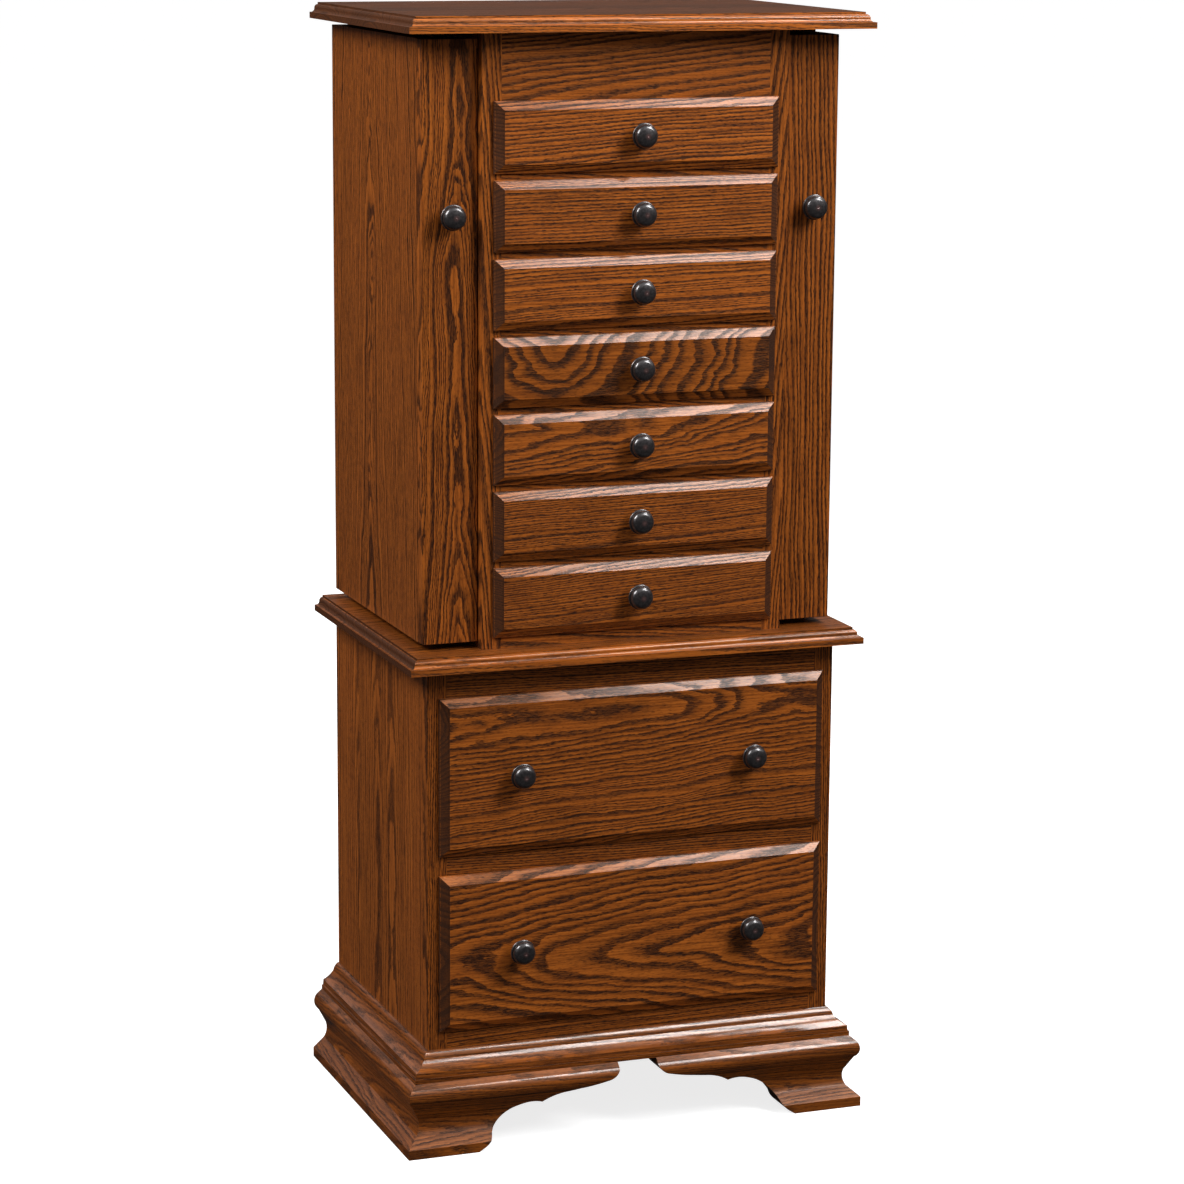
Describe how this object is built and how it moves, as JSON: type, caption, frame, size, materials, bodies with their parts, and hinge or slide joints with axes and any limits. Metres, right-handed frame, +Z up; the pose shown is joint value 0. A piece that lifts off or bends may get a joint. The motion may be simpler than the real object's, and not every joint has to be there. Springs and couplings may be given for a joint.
{
  "type": "jewelry armoire",
  "caption": "Tall two-part oak jewelry armoire with a lift-up mirrored lid, small bevelled drawers, swing-out side doors for necklaces, deep drawers below and an ogee bracket base.",
  "frame": {"origin": "middle of the footprint box, on the floor", "axes": "+X to the right seen from the front, the front faces -Y, +Z up"},
  "size_m": [0.6128, 0.4332, 1.401],
  "materials": {
    "oak_horizontal": "stained and lacquered oak, grain along the length, satin gloss",
    "oak_vertical": "stained and lacquered oak, upright grain, satin gloss",
    "oak_frame": "stained and lacquered oak face frame, satin gloss",
    "oak_panel": "stained oak-faced plywood, satin",
    "drawer_wood": "clear-coated light hardwood",
    "bronze": "oil-rubbed bronze, satin",
    "antique_brass": "antique brass, satin",
    "black_plastic": "moulded, matte",
    "mirror": "silvered glass, polished edge",
    "felt": "brushed felt lining"
  },
  "bodies": {
    "case": {"base_bracket_front_left": "oak_horizontal", "base_bracket_front_right": "oak_horizontal", "base_cap_moulding": "oak_horizontal", "base_inner_frame": "drawer_wood", "base_side_skirts": "oak_horizontal", "door_catches": "black_plastic", "fixed_hinge_leaves": "antique_brass", "lower_back_panel": "oak_panel", "lower_drawer_runners": "drawer_wood", "lower_dust_panels": "oak_panel", "lower_face_frame": "oak_frame", "lower_side_panels": "oak_vertical", "necklace_compartment_ends": "oak_panel", "ring_rolls": "felt", "tray_dividers": "drawer_wood", "tray_floor": "drawer_wood", "upper_back_panel": "oak_panel", "upper_drawer_runners": "drawer_wood", "upper_face_frame": "oak_frame", "upper_partitions": "oak_panel", "waist_slab": "oak_horizontal"},
    "drawer_1": {"drawer_1_front": "oak_horizontal", "drawer_1_box": "drawer_wood", "drawer_1_knob": "bronze"},
    "drawer_2": {"drawer_2_front": "oak_horizontal", "drawer_2_box": "drawer_wood", "drawer_2_knob": "bronze"},
    "drawer_3": {"drawer_3_front": "oak_horizontal", "drawer_3_box": "drawer_wood", "drawer_3_knob": "bronze"},
    "drawer_4": {"drawer_4_front": "oak_horizontal", "drawer_4_box": "drawer_wood", "drawer_4_knob": "bronze"},
    "drawer_5": {"drawer_5_front": "oak_horizontal", "drawer_5_box": "drawer_wood", "drawer_5_knob": "bronze"},
    "drawer_6": {"drawer_6_front": "oak_horizontal", "drawer_6_box": "drawer_wood", "drawer_6_knob": "bronze"},
    "drawer_7": {"drawer_7_front": "oak_horizontal", "drawer_7_box": "drawer_wood", "drawer_7_knob": "bronze"},
    "large_drawer_1": {"large_drawer_1_front": "oak_horizontal", "large_drawer_1_box": "drawer_wood", "large_drawer_1_knobs": "bronze"},
    "large_drawer_2": {"large_drawer_2_front": "oak_horizontal", "large_drawer_2_box": "drawer_wood", "large_drawer_2_knobs": "bronze"},
    "left_door": {"left_door": "oak_vertical", "left_door_knob": "bronze", "left_door_hinge_leaves": "antique_brass", "left_necklace_hooks": "antique_brass"},
    "right_door": {"right_door": "oak_vertical", "right_door_knob": "bronze", "right_door_hinge_leaves": "antique_brass", "right_necklace_hooks": "antique_brass"},
    "lid": {"lid_board": "oak_horizontal", "lid_mirror": "mirror", "lid_mirror_frame": "oak_horizontal", "lid_hinge_leaves": "antique_brass"}
  },
  "joints": [
    {"name": "drawer_1_slide", "type": "slide", "parent": "case", "child": "drawer_1", "axis": [0, -1, 0], "range_m": [0, 0.27]},
    {"name": "drawer_2_slide", "type": "slide", "parent": "case", "child": "drawer_2", "axis": [0, -1, 0], "range_m": [0, 0.27]},
    {"name": "drawer_3_slide", "type": "slide", "parent": "case", "child": "drawer_3", "axis": [0, -1, 0], "range_m": [0, 0.27]},
    {"name": "drawer_4_slide", "type": "slide", "parent": "case", "child": "drawer_4", "axis": [0, -1, 0], "range_m": [0, 0.27]},
    {"name": "drawer_5_slide", "type": "slide", "parent": "case", "child": "drawer_5", "axis": [0, -1, 0], "range_m": [0, 0.27]},
    {"name": "drawer_6_slide", "type": "slide", "parent": "case", "child": "drawer_6", "axis": [0, -1, 0], "range_m": [0, 0.27]},
    {"name": "drawer_7_slide", "type": "slide", "parent": "case", "child": "drawer_7", "axis": [0, -1, 0], "range_m": [0, 0.27]},
    {"name": "large_drawer_1_slide", "type": "slide", "parent": "case", "child": "large_drawer_1", "axis": [0, -1, 0], "range_m": [0, 0.27]},
    {"name": "large_drawer_2_slide", "type": "slide", "parent": "case", "child": "large_drawer_2", "axis": [0, -1, 0], "range_m": [0, 0.27]},
    {"name": "left_door_hinge", "type": "hinge", "parent": "case", "child": "left_door", "pos_m": [-0.25025, 0.2134, 1.00625], "axis": [0, 0, -1], "range_deg": [0, 100]},
    {"name": "right_door_hinge", "type": "hinge", "parent": "case", "child": "right_door", "pos_m": [0.25025, 0.2134, 1.00625], "axis": [0, 0, 1], "range_deg": [0, 100]},
    {"name": "lid_hinge", "type": "hinge", "parent": "case", "child": "lid", "pos_m": [0, 0.2134, 1.381], "axis": [-1, 0, 0], "range_deg": [0, 95]}
  ]
}
